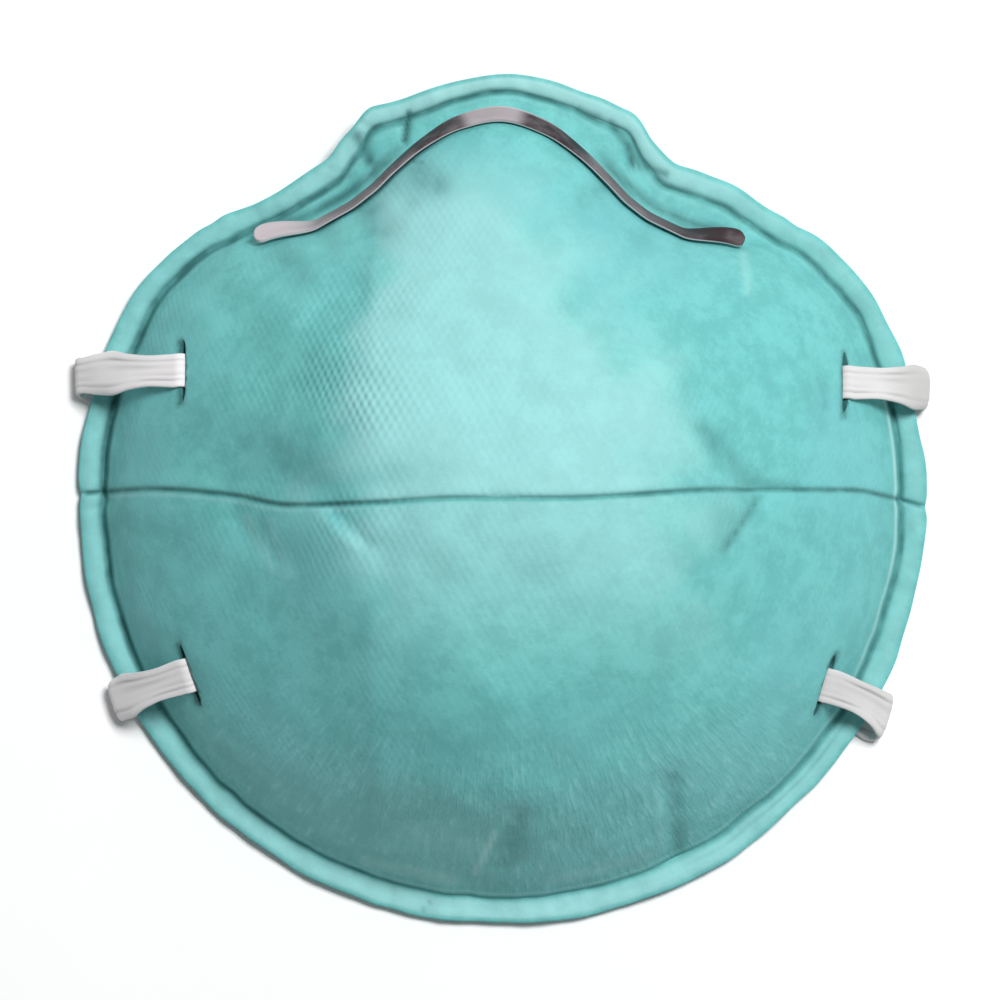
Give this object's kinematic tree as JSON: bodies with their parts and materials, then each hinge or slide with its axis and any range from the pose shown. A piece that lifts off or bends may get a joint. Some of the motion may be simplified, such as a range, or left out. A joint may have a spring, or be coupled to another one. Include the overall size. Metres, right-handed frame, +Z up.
{
  "type": "disposable respirator",
  "caption": "Moulded cup-shaped disposable respirator with a welded rim, a bent metal nose clip and elastic head straps.",
  "frame": {"origin": "on the surface that the respirator lies on, under the middle of its bounding box, which is the middle of the round rim", "axes": "+Z up, out of the front of the cup; +Y towards the nose end; +X to the viewer's right when the front is seen with the nose end up"},
  "size_m": [0.137, 0.1356, 0.0496],
  "materials": {
    "cup_fabric": "embossed non-woven fabric, matt, pale teal",
    "clip_metal": "soft rolled strip, satin",
    "strap_elastic": "braided elastic, matt white"
  },
  "bodies": {
    "root": {"shell": "cup_fabric", "nose_clip": "clip_metal", "strap_upper": "strap_elastic", "strap_lower": "strap_elastic"}
  },
  "joints": []
}
